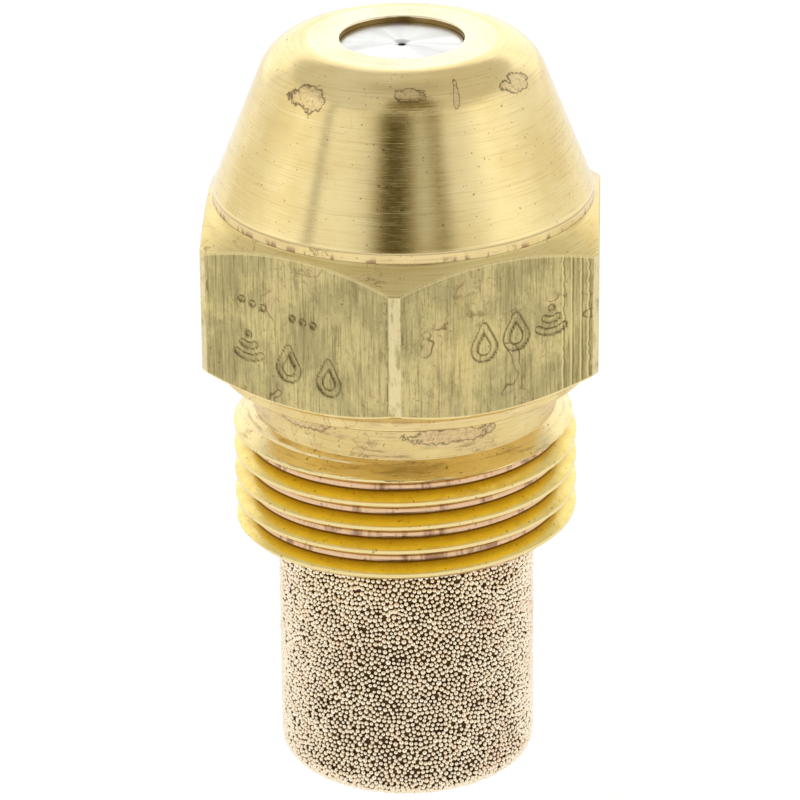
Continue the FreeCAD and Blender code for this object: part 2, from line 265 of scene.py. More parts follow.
def arc(across, up, wide, tall, start=0, end=360, steps=28):
    """Points along an ellipse, as a run of short strokes."""
    turn = np.radians(np.linspace(start, end, steps))
    points = np.stack([across + wide * np.cos(turn), up + tall * np.sin(turn)], axis=1)
    return list(zip(points[:-1], points[1:]))


def spray_sign(across, up, size):
    """A plain sign for a spray: a dot with two curved fronts under it."""
    top = up + 0.45 * size
    strokes = [((across, top), (across + 0.01, top))]
    for reach in (0.42, 0.85):
        strokes += arc(across, top, reach * size, reach * size, 235, 305, 12)
    return strokes


def drop_sign(across, up, size):
    """A plain sign for oil: the outline of a drop."""
    strokes = arc(across, up - 0.15 * size, 0.36 * size, 0.36 * size, -215, 35, 20)
    for side in (-1, 1):
        strokes.append(((across + side * 0.295 * size, up + 0.055 * size), (across, up + 0.6 * size)))
    return strokes


def stamped_signs():
    """The signs on each stamped face of the hexagon, by the direction of the face in degrees."""
    dots = [((x, y), (x + 0.01, y)) for x, y in ((-2.6, 11.9), (-2.1, 11.8), (-1.6, 11.7), (-0.2, 11.55),
                                                 (0.3, 11.5), (0.8, 11.45))]
    left = dots + spray_sign(-2.3, 9.9, 1.2) + drop_sign(-0.4, 9.5, 1.2) + drop_sign(1.5, 9.3, 1.2)
    right = drop_sign(-0.6, 10.7, 1.25) + drop_sign(0.85, 10.9, 1.25) + spray_sign(2.45, 11.1, 1.2)
    return {-120: left, -60: right}


def stamped_relief(angle, height):
    """How deep the stamped signs are on the hexagon's faces, and their mark: below 0 at their edges."""
    depth = np.zeros(np.broadcast(angle, height).shape)
    mark = np.zeros(depth.shape)
    for degrees, strokes in stamped_signs().items():
        off = (angle - math.radians(degrees) + np.pi) % (2 * np.pi) - np.pi
        across = np.where(np.abs(off) < math.pi / 6, FLATS * np.tan(np.clip(off, -0.6, 0.6)), 99.0)
        nearest = np.full(depth.shape, 9.0)
        for (x0, z0), (x1, z1) in strokes:
            length = max((x1 - x0) ** 2 + (z1 - z0) ** 2, 1e-9)
            share = np.clip(((across - x0) * (x1 - x0) + (height - z0) * (z1 - z0)) / length, 0, 1)
            gap = np.hypot(across - x0 - share * (x1 - x0), height - z0 - share * (z1 - z0))
            nearest = np.minimum(nearest, gap)
        depth += 0.09 * np.clip((0.16 - nearest) / 0.09, 0, 1)
        depth -= 0.02 * np.clip(1 - np.abs(nearest - 0.22) / 0.07, 0, 1)
        mark += 0.8 * np.clip(1 - nearest / 0.07, 0, 1) - np.clip(1 - np.abs(nearest - 0.14) / 0.075, 0, 1)
    return depth, mark


def make_body(materials, per_pitch=24):
    """The whole nozzle body as one closed grid round the axis."""
    angle = hex_columns()
    before = tip_rows() + head_rows(angle) + shank_rows()
    thread = thread_rows(angle, per_pitch)
    rows = before + thread + inner_rows()
    radius, height, mark = (
        np.stack([np.broadcast_to(row[i], angle.shape) for row in rows]).astype(float) for i in (0, 1, 3))
    kind = np.array([row[2] for row in rows])
    depth, stamped = stamped_relief(angle, height)
    radius -= np.where(kind[:, None] == HEXAGON, depth, 0)
    radius = np.minimum(radius, CORNERS)
    mark = np.where((kind[:, None] == HEXAGON) & (mark == 0), stamped, mark)
    points = np.stack([radius * np.cos(angle), radius * np.sin(angle), height], axis=2)
    # The thread's rows climb one pitch in a turn, so each closes on the row one pitch above it.
    count, first = len(angle), len(before)
    index = np.arange(len(rows) * count).reshape(len(rows), count)
    closing = np.arange(len(rows))
    inside = slice(first, first + len(thread) - 1)
    closing[inside] = np.maximum(closing[inside] - per_pitch, first)
    index = np.hstack([index, closing[:, None] * count])
    piece = put_mesh("brass_body", points.reshape(-1, 3), ring_faces(index), "nozzle",
                     materials, np.repeat(np.roll(kind, -1), count), marks=mark.ravel())
    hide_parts("nozzle_body")


# ---------------------------------------------------------------- disc and filter

def make_disc(material):
    """The orifice disc, with a shallow dimple round the spray orifice."""
    face, flange, top = HOLE - 0.02, CHAMBER - 0.02, DISC_HIGH.z
    step = TIP - LIP
    rows = [(ORIFICE, top - 0.51), (ORIFICE, top - 0.31), (ORIFICE, top - 0.09), (0.17, top - 0.07),
            (0.24, top - 0.05), (0.32, top - 0.025), (0.38, top - 0.006), (0.42, top)]
    rows += [(radius, top) for radius in np.linspace(0.5, face - 0.04, 14)]
    rows += [(face - 0.01, top - 0.01), (face, top - 0.04), (face, step + 0.02), (face + 0.04, step - 0.005),
             (flange - 0.05, step - 0.005), (flange, step - 0.05), (flange, DISC_LOW.z + 0.05),
             (flange - 0.05, DISC_LOW.z), (2.05, DISC_LOW.z), (1.98, DISC_LOW.z + 0.02)]
    rows += [(1.4, DISC_LOW.z + 0.6), (0.8, DISC_LOW.z + 1.2)]
    piece = turned_mesh("steel_disc", rows, 128, "nozzle", [material])
    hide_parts("orifice_disc")


def bead_place(angle, along, sunk=0.0):
    """Points on the filter's outline, sunk below it, and the way out, so far along it from the top."""
    rounding = 1.0
    straight = FILTER_HIGH.z - FILTER_LOW.z - rounding
    bend = np.clip((along - straight) / rounding, 0, math.pi / 2)
    inward = np.maximum(0.0, along - straight - rounding * math.pi / 2)
    reach = FILTER_HIGH.x - rounding + (rounding - sunk) * np.cos(bend) - inward
    height = np.where(bend > 0, FILTER_LOW.z + rounding - (rounding - sunk) * np.sin(bend),
                      FILTER_HIGH.z - along)
    outward = np.stack([np.cos(bend) * np.cos(angle), np.cos(bend) * np.sin(angle), -np.sin(bend)], 1)
    return np.stack([reach * np.cos(angle), reach * np.sin(angle), height], 1), outward, reach


def bead_places(spacing=0.215):
    """Centres, outward directions and sizes of the beads, pushed apart until they hardly overlap."""
    pick = np.random.default_rng(5)
    last = FILTER_HIGH.z - FILTER_LOW.z - 1.0 + math.pi / 2 + FILTER_HIGH.x - 1.0
    angle, along = [], []
    for row in np.arange(0.1, last, spacing * 0.9):
        reach = bead_place(np.zeros(1), np.array([row]))[2][0]
        count = max(1, int(round(2 * math.pi * reach / spacing)))
        shift = pick.uniform() + pick.uniform(-0.45, 0.45, count)
        angle.append((np.arange(count) + shift) * 2 * np.pi / count)
        along.append(row + spacing * pick.uniform(-0.5, 0.5, count))
    angle, along = np.concatenate(angle), np.concatenate(along)
    size = 0.5 * spacing * np.clip(pick.normal(1.08, 0.2, len(angle)), 0.68, 1.6)
    for turn in range(6):
        points, outward, reach = bead_place(angle, along)
        if turn % 3 == 0:
            tree = KDTree(len(points))
            for i, point in enumerate(points):
                tree.insert(point, i)
            tree.balance()
            near = np.array([[found[1] for found in tree.find_n(point, 9)[1:]] for point in points])
        apart = points[:, None, :] - points[near]
        distance = np.maximum(np.linalg.norm(apart, axis=2), 1e-4)
        overlap = np.clip(1.02 * (size[:, None] + size[near]) - distance, 0, None)
        push = (apart / distance[:, :, None] * overlap[:, :, None]).sum(axis=1) * 0.28
        around = np.stack([-np.sin(angle), np.cos(angle), np.zeros(len(angle))], axis=1)
        angle = angle + (push * around).sum(axis=1) / np.maximum(reach, spacing)
        along = along + (push * np.cross(around, outward)).sum(axis=1)
        along = np.clip(along, 0.1, last - 0.02)
    points, outward, _ = bead_place(angle, along, size + pick.uniform(0.0, 0.06, len(size)))
    return np.hstack([points, outward, size[:, None]])


def make_beads(name, places, material, seed):
    """Closed domes of sintered bronze, one at each place."""
    pick = np.random.default_rng(seed)
    centre, outward, size = places[:, :3], places[:, 3:6], places[:, 6]
    helper = np.where(np.abs(outward[:, 2:]) < 0.8, [[0, 0, 1.0]], [[1.0, 0, 0]])
    first = np.cross(helper, outward)
    first /= np.linalg.norm(first, axis=1)[:, None]
    second = np.cross(outward, first)
    sides = 5
    turn = pick.uniform(0, 2 * np.pi, len(places))[:, None] + np.arange(sides) * 2 * np.pi / sides
    points = [(centre + outward * size[:, None])[:, None, :]]
    for tilt, twist in ((44, 0.0), (98, math.pi / sides)):
        out, up = math.sin(math.radians(tilt)), math.cos(math.radians(tilt))
        ring = (np.cos(turn + twist)[:, :, None] * first[:, None, :]
                + np.sin(turn + twist)[:, :, None] * second[:, None, :]) * out
        ring = ring + outward[:, None, :] * up
        points.append(centre[:, None, :] + ring * size[:, None, None])
    points = np.concatenate(points, axis=1)
    faces = []
    for i in range(sides):
        j = (i + 1) % sides
        upper, upper_next, lower, lower_next = 1 + i, 1 + j, 1 + sides + i, 1 + sides + j
        faces += [(0, upper, upper_next), (upper, lower, upper_next), (upper_next, lower, lower_next)]
    faces += [(1 + sides, 1 + sides + i + 1, 1 + sides + i) for i in range(1, sides - 1)]
    count = points.shape[1]
    faces = np.array(faces)[None] + (np.arange(len(places)) * count)[:, None, None]
    shade = np.repeat(pick.uniform(0, 1, len(places)), count)
    return put_mesh(name, points.reshape(-1, 3), faces.reshape(-1, 3), "screw",
                    [material], sharp=0, marks=shade)


def make_filter(bead_material, gap_shade_material):
    """The sintered filter: a solid cup in its gaps, dark with painted shade, and beads in three runs along
    it.
    """
    places = bead_places()
    cuts = [FILTER_LOW.z - 1, -5.4, 0.3, FILTER_HIGH.z + 1]
    for i, name in enumerate(("filter_beads_low", "filter_beads_middle", "filter_beads_high")):
        part = places[(places[:, 2] >= cuts[i]) & (places[:, 2] < cuts[i + 1])]
        make_beads(name, part, bead_material, 30 + i)
    sunk, rounding, wall = 0.16, 0.9, 1.41
    side, low, high = FILTER_HIGH.x - sunk, FILTER_LOW.z + sunk, FILTER_HIGH.z
    rows = [(side, height) for height in np.linspace(high - 0.05, low + rounding, 20)]
    rows += [(side - rounding + rounding * math.cos(bend), low + rounding - rounding * math.sin(bend))
             for bend in np.linspace(0, math.pi / 2, 9)[1:]]
    rows += [(2.2, low), (0.02, low), (0.02, low + 1.3), (FILTER_HIGH.x - wall, low + 1.4),
             (FILTER_HIGH.x - wall, high), (side - 0.05, high)]
    core = turned_mesh("filter_core", rows, 96, "screw", [gap_shade_material])
    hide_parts("sintered_filter")


# ---------------------------------------------------------------- materials

class Look:
    """A Principled material under construction. Its methods add nodes and give their outputs."""

    def __init__(self, name, roughness, metallic=1.0):
        self.material = bpy.data.materials.new(name)
        self.material.use_nodes = True
        self.tree = self.material.node_tree
        self.shader = self.tree.nodes["Principled BSDF"]
        self.shader.inputs["Metallic"].default_value = metallic
        self.shader.inputs["Roughness"].default_value = roughness
        place = self.add("ShaderNodeTexCoord")
        self.facing = self.add("ShaderNodeSeparateXYZ", {0: place.outputs["Normal"]}).outputs[2]
        self.place = self.vector("SCALE", place.outputs["Object"], scale=1 / MM)
        axes = self.add("ShaderNodeSeparateXYZ", {0: self.place}).outputs
        self.x, self.y, self.z = axes[0], axes[1], axes[2]
        flat = self.vector("MULTIPLY", self.place, (1, 1, 0))
        self.radius = self.add("ShaderNodeVectorMath", {0: flat}, operation="LENGTH").outputs["Value"]

    def put(self, socket, value):
        if isinstance(value, bpy.types.NodeSocket):
            self.tree.links.new(value, socket)
        else:
            socket.default_value = value

    def add(self, kind, values=None, **settings):
        node = self.tree.nodes.new(kind)
        for key, value in settings.items():
            setattr(node, key, value)
        for key, value in (values or {}).items():
            self.put(node.inputs[key], value)
        return node

    def math(self, operation, a, b=0.0, c=0.0):
        return self.add("ShaderNodeMath", {0: a, 1: b, 2: c}, operation=operation).outputs[0]

    def vector(self, operation, a, b=(0, 0, 0), scale=1.0):
        values = {0: a, 1: b, 3: scale}
        return self.add("ShaderNodeVectorMath", values, operation=operation).outputs["Vector"]

    def noise(self, stretch, seed=0.0, detail=2.0, rough=0.5, warp=0.0, place=None):
        """Noise of 0 to 1 with so many features to the millimetre along X, Y and Z."""
        at = self.vector("MULTIPLY", place or self.place, stretch)
        at = self.vector("ADD", at, (seed, 0.7 * seed, 0.4 * seed))
        values = {"Vector": at, "Scale": 1.0, "Detail": detail, "Roughness": rough, "Distortion": warp}
        return self.add("ShaderNodeTexNoise", values).outputs["Fac"]

    def step(self, value, low, high, first=0.0, last=1.0):
        """Runs smoothly from first to last as value goes from low to high."""
        values = {"Value": value, "From Min": low, "From Max": high, "To Min": first, "To Max": last}
        return self.add("ShaderNodeMapRange", values, interpolation_type="SMOOTHSTEP").outputs[0]

    def line(self, value, level, width):
        """1 where value is level, falling to 0 within width."""
        off = self.math("ABSOLUTE", self.math("SUBTRACT", value, level))
        return self.step(off, 0.0, width, 1.0, 0.0)

    def mix(self, share, first, second):
        """A colour between first and second."""
        node = self.add("ShaderNodeMix", data_type="RGBA", blend_type="MIX")
        for key, value in ((0, share), (6, first), (7, second)):
            self.put(node.inputs[key], (*value, 1) if isinstance(value, tuple) else value)
        return node.outputs[2]

    def tint(self, tone, color, share, amount):
        """Lays a colour over the tone, as strongly as share times amount."""
        return self.mix(self.math("MULTIPLY", share, amount), tone, color)

    def bump(self, height, depth, strength=1.0):
        """Adds relief of this depth in millimetres to what the shader has."""
        node = self.add("ShaderNodeBump", {"Strength": strength, "Distance": depth * MM, "Height": height})
        before = self.shader.inputs["Normal"].links
        if before:
            self.tree.links.new(before[0].from_socket, node.inputs["Normal"])
        self.tree.links.new(node.outputs["Normal"], self.shader.inputs["Normal"])

    def mark(self):
        """The mark that each point of the mesh carries: an edge, a bead's shade or a stamped sign."""
        return self.add("ShaderNodeAttribute", attribute_name="mark").outputs["Fac"]

    def finish(self, color, roughness=None):
        self.put(self.shader.inputs["Base Color"], (*color, 1) if isinstance(color, tuple) else color)
        if roughness is not None:
            self.put(self.shader.inputs["Roughness"], roughness)
        return self.material


PALE = (0.86, 0.70, 0.34)
GOLD = (0.80, 0.62, 0.25)
OLIVE = (0.46, 0.385, 0.175)
STAIN = (0.18, 0.12, 0.05)
PINK = (0.66, 0.44, 0.30)


def stained(look, color, seed, amount, size=1.0):
    """Dried drops: thin brown outlines round slightly duller patches, in some places only."""
    field = look.noise((0.75 / size,) * 3, seed, detail=3.0, rough=0.55, warp=0.4)
    where = look.step(look.noise((0.22,) * 3, seed + 7), 0.50, 0.62)
    ring = look.math("MULTIPLY", look.line(field, 0.56, 0.014), where)
    patch = look.math("MULTIPLY", look.step(field, 0.55, 0.58), where)
    color = look.tint(color, PINK, patch, 0.16 * amount)
    return look.tint(color, STAIN, ring, amount), look.math("MAXIMUM", ring, patch)


def specks(look, color, seed, share=0.72):
    """Small dark pits."""
    dots = look.step(look.noise((6.0,) * 3, seed, detail=1.0), share, share + 0.04)
    return look.tint(color, STAIN, dots, 0.6)


def dried_drop(look, color, degrees, height, wide, tall, lean=0.0, strength=0.85):
    """One outlined stain on the cone or its rounding, so many degrees round from -Y."""
    turn = look.math("ARCTAN2", look.x, look.math("MULTIPLY", look.y, -1.0))
    across = look.math("MULTIPLY", look.math("SUBTRACT", turn, math.radians(degrees)), 5.5)
    up = look.math("SUBTRACT", look.z, height)
    across = look.math("ADD", across, look.math("MULTIPLY", up, lean))
    far = look.vector("SCALE", look.add("ShaderNodeCombineXYZ", {
        0: look.math("DIVIDE", across, wide), 1: look.math("DIVIDE", up, tall)}).outputs[0])
    far = look.add("ShaderNodeVectorMath", {0: far}, operation="LENGTH").outputs["Value"]
    rough = look.noise((1.9,) * 3, 5 * height, detail=5.0, rough=0.7)
    far = look.math("ADD", far, look.math("MULTIPLY_ADD", rough, 2.2, -1.1))
    grain = look.step(look.noise((7.0,) * 3, height, detail=3.0, rough=0.7), 0.5, 0.62)
    patch = look.step(far, 1.0, 0.9)
    edge = look.line(far, 1.0, 0.17)
    color = look.tint(color, PINK, patch, 0.2)
    color = look.tint(color, STAIN, look.math("MULTIPLY", patch, grain), 0.3)
    return look.tint(color, (0.09, 0.055, 0.03), edge, strength)


def turned_brass(name, color, roughness, lines, seed, stains=0.6, follow=1.0, grime=0.0, drops=(),
                 shade_lines=()):
    """Brass with the fine lines of turning. follow is 1 where they follow both radius and height.

    shade_lines are the heights of thin dark lines, painted shade along the band's edges, and short dark
    marks lie along the last of them.
    """
    look = Look(name, roughness)
    along = look.math("SUBTRACT", look.z, look.math("MULTIPLY", look.radius, follow))
    place = look.add("ShaderNodeCombineXYZ", {0: look.x, 1: look.y, 2: along}).outputs[0]
    fine = look.noise((0.35, 0.35, 12.0), seed, detail=3.0, rough=0.7, place=place)
    broad = look.noise((0.12, 0.12, 3.0), seed + 3, detail=2.0, place=place)
    cloud = look.noise((0.35, 0.35, 0.35), seed + 5, detail=3.0)
    dull = tuple(c * f for c, f in zip(color, (0.90, 0.85, 0.74)))
    tone = look.mix(look.step(cloud, 0.35, 0.7), color, dull)
    tone = look.tint(tone, STAIN, look.step(fine, 0.52, 0.72), 0.22)
    # The pale turning lines are painted glints.
    tone = look.tint(tone, (0.95, 0.86, 0.56), look.step(fine, 0.45, 0.28), 0.3)
    if grime:
        scratch = look.noise((0.8, 0.8, 7.0), seed + 17, detail=4.0, rough=0.7, place=place)
        where = look.step(look.noise((0.45, 0.45, 0.8), seed + 19, detail=2.0), 0.44, 0.6)
        scratch = look.math("MULTIPLY", look.step(scratch, 0.5, 0.62), where)
        tone = look.tint(tone, PINK, where, 0.35 * grime)
        tone = look.tint(tone, STAIN, scratch, 0.8 * grime)
    if shade_lines:
        ticks = look.step(look.noise((1.9, 1.9, 0.5), seed + 23, detail=2.0, rough=0.6), 0.52, 0.60)
        near = look.line(look.z, shade_lines[-1], 0.35)
        ticks = look.math("MULTIPLY", ticks, near)
        tone = look.tint(tone, (0.26, 0.13, 0.08), ticks, 0.85)
    # Thin dark lines at these heights: painted shade along the band's edges.
    for height in shade_lines:
        tone = look.tint(tone, STAIN, look.line(look.z, height, 0.08), 0.85)
    tone, wet = stained(look, tone, seed + 11, stains)
    for drop in drops:
        tone = dried_drop(look, tone, *drop)
    tone = specks(look, tone, seed + 13)
    # Painted highlight along the broken edges that the mesh marks.
    bright = tuple(min(1.0, c * 1.12 + 0.05) for c in color)
    tone = look.tint(tone, bright, look.step(look.mark(), 0.5, 1.0), 0.6)
    rough = look.math("ADD", look.step(broad, 0.3, 0.8, roughness * 0.8, roughness * 1.35),
                      look.math("MULTIPLY", wet, 0.05))
    look.bump(fine, 0.006 * lines)
    look.bump(broad, 0.006 * lines, 0.5)
    return look.finish(tone, rough)


def hexagon_brass():
    """Drawn bar: lines along the axis, dull olive patina, stain outlines, worn edges, and painted highlight
    and shade on its broken edges and stamped signs.
    """
    look = Look("brass_hexagon", 0.4)
    drawn = look.noise((11.0, 11.0, 0.5), 2.0, detail=3.0, rough=0.75)
    wide = look.noise((1.3, 1.3, 0.07), 9.0, detail=3.0, rough=0.6)
    cloud = look.noise((0.5, 0.5, 0.36), 4.0, detail=6.0, rough=0.65, warp=0.5)
    grain = look.noise((7.0, 7.0, 4.0), 14.0, detail=2.0, rough=0.6)
    dark, light = (tuple(c * share for c in OLIVE) for share in (0.95, 1.45))
    tone = look.mix(look.step(cloud, 0.38, 0.62), dark, light)
    tone = look.tint(tone, (0.17, 0.12, 0.04), look.step(drawn, 0.48, 0.66), 0.52)
    tone = look.tint(tone, PALE, look.step(drawn, 0.46, 0.3), 0.34)
    tone = look.tint(tone, GOLD, look.step(wide, 0.56, 0.72), 0.4)
    tone = look.tint(tone, (0.25, 0.19, 0.07), look.step(grain, 0.5, 0.75), 0.35)
    tone, wet = stained(look, tone, 3.0, 0.9, size=2.2)
    tone, damp = stained(look, tone, 31.0, 0.4, size=0.9)
    tone = specks(look, tone, 8.0)
    # Wavy lines that the drawing die left near one corner, on the face that points 30 degrees from -Y.
    across = look.math("ADD", look.math("MULTIPLY", look.x, math.cos(math.radians(30))),
                       look.math("MULTIPLY", look.y, math.sin(math.radians(30))))
    sway = look.math("MULTIPLY_ADD", look.noise((0, 0, 2.2), 3.0, detail=2.0), 0.24, -0.12)
    near = look.step(look.y, -1.0, -2.0)
    for at, wave in ((2.95, 1.0), (3.35, 0.15), (3.78, 0.3), (4.12, 1.2)):
        place = look.math("ADD", across, look.math("MULTIPLY", sway, wave))
        ridge = look.math("MULTIPLY", look.line(place, at, 0.055), near)
        groove = look.math("MULTIPLY", look.line(place, at + 0.085, 0.05), near)
        tone = look.tint(tone, PALE, ridge, 0.75)
        tone = look.tint(tone, STAIN, groove, 0.7)
    chips = look.noise((2.5, 2.5, 1.2), 21.0, detail=3.0, rough=0.6)
    worn = look.step(look.math("ADD", look.radius, look.math("MULTIPLY", chips, 0.12)),
                     CORNERS + 0.035, CORNERS + 0.06)
    tone = look.tint(tone, (0.88, 0.75, 0.42), worn, 0.65)
    dirt = look.math("MULTIPLY", look.line(look.radius, CORNERS - 0.05, 0.05), look.step(chips, 0.46, 0.6))
    tone = look.tint(tone, (0.20, 0.15, 0.06), dirt, 0.8)
    # Painted highlight along the hexagon's broken edges and the middles of the stamped strokes, and painted
    # shade on the strokes' sloping sides.
    tone = look.tint(tone, PALE, look.step(look.mark(), 0.45, 0.9), 0.6)
    tone = look.tint(tone, (0.13, 0.085, 0.03), look.step(look.mark(), -0.15, -0.85), 0.8)
    rough = look.step(cloud, 0.3, 0.7, 0.32, 0.48)
    rough = look.math("SUBTRACT", rough, look.math("MULTIPLY", worn, 0.15))
    look.bump(drawn, 0.02)
    look.bump(grain, 0.012)
    look.bump(cloud, 0.05, 0.35)
    look.bump(look.math("MAXIMUM", wet, damp), 0.006)
    return look.finish(tone, rough)


def thread_brass():
    """Cut thread: golden flanks, pinkish roots with brown marks and pale, burred crests, with painted light
    and shade.
    """
    look = Look("brass_thread", 0.2)
    marks = look.noise((1.6, 1.6, 0.5), 6.0, detail=4.0, rough=0.7)
    fine = look.noise((0.8, 0.8, 9.0), 12.0, detail=3.0, rough=0.6)
    # Painted reflection: flanks that face down are a deeper gold.
    under = look.step(look.facing, 0.1, -0.3)
    tone = look.mix(look.step(marks, 0.35, 0.7), (0.88, 0.69, 0.24), (0.82, 0.62, 0.17))
    tone = look.mix(under, tone, (0.83, 0.62, 0.06))
    # Painted shade: the flanks darken to brown towards the root.
    shade = look.step(look.radius, ROOT + 0.05, CREST - 0.12, 0.6, 0.0)
    tone = look.mix(shade, tone, (0.42, 0.24, 0.02))
    tone = look.tint(tone, (0.45, 0.28, 0.05), look.step(fine, 0.5, 0.75), 0.2)
    # The root's pinkish colour is a painted reflection.
    root = look.step(look.radius, ROOT + 0.015, ROOT + 0.035, 1.0, 0.0)
    tone = look.mix(root, tone, (0.80, 0.54, 0.34))
    brown = look.step(look.noise((1.1, 1.1, 0.4), 16.0, detail=4.0, rough=0.65), 0.48, 0.62)
    tone = look.tint(tone, (0.26, 0.12, 0.07), root, look.math("MULTIPLY", brown, 0.75))
    # Painted shade: a dark line just above the root.
    tone = look.tint(tone, (0.20, 0.11, 0.03), look.line(look.radius, ROOT + 0.06, 0.06), 0.8)
    # Painted highlight on the burred crests.
    crest = look.step(look.mark(), 0.55, 0.85)
    tone = look.tint(tone, PALE, crest, 0.9)
    # Painted light: the first turn is paler, as no thread above shades it; fine dark lines run over it.
    start = look.step(look.z, NECK_BASE - 0.75, NECK_BASE - 0.6)
    tone = look.tint(tone, (0.86, 0.71, 0.36), start, 0.85)
    tone = look.tint(tone, STAIN, start, look.step(fine, 0.5, 0.7, 0.0, 0.4))
    tone = specks(look, tone, 5.0, 0.7)
    look.bump(fine, 0.006)
    return look.finish(tone, look.step(marks, 0.3, 0.7, 0.16, 0.28))


def body_materials():
    """One material for each kind of surface, in the order of INSIDE to SEAT."""
    # Degrees round from -Y, height, half width, half height, and where they differ lean and strength.
    drops = [(-38.5, 19.95, 0.85, 0.42), (5.5, 20.42, 0.55, 0.2, 0.0, 0.7), (25.5, 20.25, 0.12, 0.42, -0.3),
             (58.0, 20.15, 0.75, 0.30), (-120.0, 18.9, 0.6, 0.5), (150.0, 19.6, 0.9, 0.4)]
    return [
        # The dark brown of the inside is painted shade in the tip's hole and the bore.
        turned_brass("brass_inside", (0.32, 0.21, 0.07), 0.3, 1.0, 1.0, 0.3, 0.0),
        turned_brass("brass_ring", (0.90, 0.80, 0.55), 0.16, 0.6, 2.0, 0.2),
        turned_brass("brass_cone", PALE, 0.12, 1.2, 3.0, 0.1, drops=drops),
        turned_brass("brass_turned", (0.84, 0.67, 0.32), 0.2, 1.0, 4.0, 0.5, grime=0.3,
                     shade_lines=(BAND_TOP - 0.03, BAND_LOW + 0.03)),
        turned_brass("brass_chamfer", (0.82, 0.66, 0.28), 0.22, 1.2, 5.0, 0.5, grime=0.12),
        hexagon_brass(),
        turned_brass("brass_neck", (0.80, 0.64, 0.30), 0.2, 2.5, 6.0, 0.4, 0.0, grime=0.6,
                     drops=[(20.0, 6.1, 1.5, 0.3, 0.0, 0.7), (-40.0, 6.3, 1.3, 0.3, 0.2, 0.7)]),
        thread_brass(),
        turned_brass("brass_seat", GOLD, 0.2, 1.0, 8.0, 0.4),
    ]


def steel(name, color, seed):
    """Turned stainless steel with rings and a soft radial sheen."""
    look = Look(name, 0.3)
    rings = look.math("SUBTRACT", look.z, look.radius)
    place = look.add("ShaderNodeCombineXYZ", {0: look.x, 1: look.y, 2: rings}).outputs[0]
    fine = look.noise((0.3, 0.3, 14.0), seed, detail=3.0, place=place)
    turn = look.math("ARCTAN2", look.x, look.y)
    around = look.add("ShaderNodeCombineXYZ", {0: look.math("SINE", turn), 1: look.math("COSINE", turn),
                                               2: 0.0}).outputs[0]
    rays = look.noise((2.6, 2.6, 1.0), seed + 2, detail=2.0, rough=0.5, place=around)
    cloud = look.noise((0.9, 0.9, 0.9), seed + 4, detail=3.0)
    tone = look.mix(look.step(rays, 0.35, 0.7), color, tuple(c * 0.95 for c in color))
    tone = look.tint(tone, (0.50, 0.49, 0.47), look.step(cloud, 0.5, 0.75), 0.2)
    # Painted shade near the axis, in the dimple round the orifice.
    pit = look.step(look.radius, 0.16, 0.30, 1.0, 0.0)
    tone = look.tint(tone, (0.2, 0.2, 0.21), pit, 0.45)
    look.bump(fine, 0.003)
    return look.finish(tone, look.step(rays, 0.3, 0.7, 0.22, 0.36))


def bead_bronze():
    """Sintered beads: pale pinkish bronze, each with a shade of its own."""
    look = Look("bronze_beads", 0.2)
    cloud = look.noise((0.4, 0.4, 0.4), 1.0, detail=3.0)
    tone = look.mix(look.mark(), (1.0, 0.92, 0.74), (1.0, 0.84, 0.63))
    tone = look.tint(tone, (0.80, 0.52, 0.38), look.step(cloud, 0.5, 0.75), 0.35)
    return look.finish(tone, look.step(look.mark(), 0.0, 1.0, 0.14, 0.3))


def gap_shade_bronze():
    """What shows between the beads: a very dark brown bronze with a grain, painted shade for the depth
    between them.
    """
    look = Look("bronze_gap_shade", 0.7)
    grain = look.noise((5.0, 5.0, 5.0), 2.0, detail=3.0)
    tone = look.mix(look.step(grain, 0.35, 0.7), (0.10, 0.055, 0.025), (0.20, 0.11, 0.05))
    look.bump(grain, 0.04)
    return look.finish(tone, look.step(grain, 0.3, 0.7, 0.6, 0.85))


def coat_node(name, material):
    """Gives a CAD node that is shown as it is a finished material."""
    piece = frame["nodes"][name]
    for slot in piece.material_slots:
        slot.material = material


# ---------------------------------------------------------------- studio

CAMERA_SIDE = 2.47  # degrees round the axis from -Y
SHOULDER, ROOF = 0.74, 0.55  # how bright the tent is above 45 degrees and overhead
# How bright the tent is at each angle round the axis, in degrees from the camera.
TENT = [
    (-180, 1.40), (-142, 1.30), (-128, 0.95), (-108, 0.98), (-84, 1.18), (-64, 1.05), (-61, 0.60),
    (-58, 0.60), (-55, 1.02), (-38, 0.97),
    (-25, 0.84), (-18, 0.46), (-13, 0.12), (-1, 0.10), (5, 0.25), (10, 0.56), (16, 0.60), (22, 0.36),
    (27, 0.36), (33, 0.84), (46, 0.92), (62, 1.20), (80, 1.15), (98, 0.98), (128, 0.95), (142, 1.30),
    (180, 1.40),
]


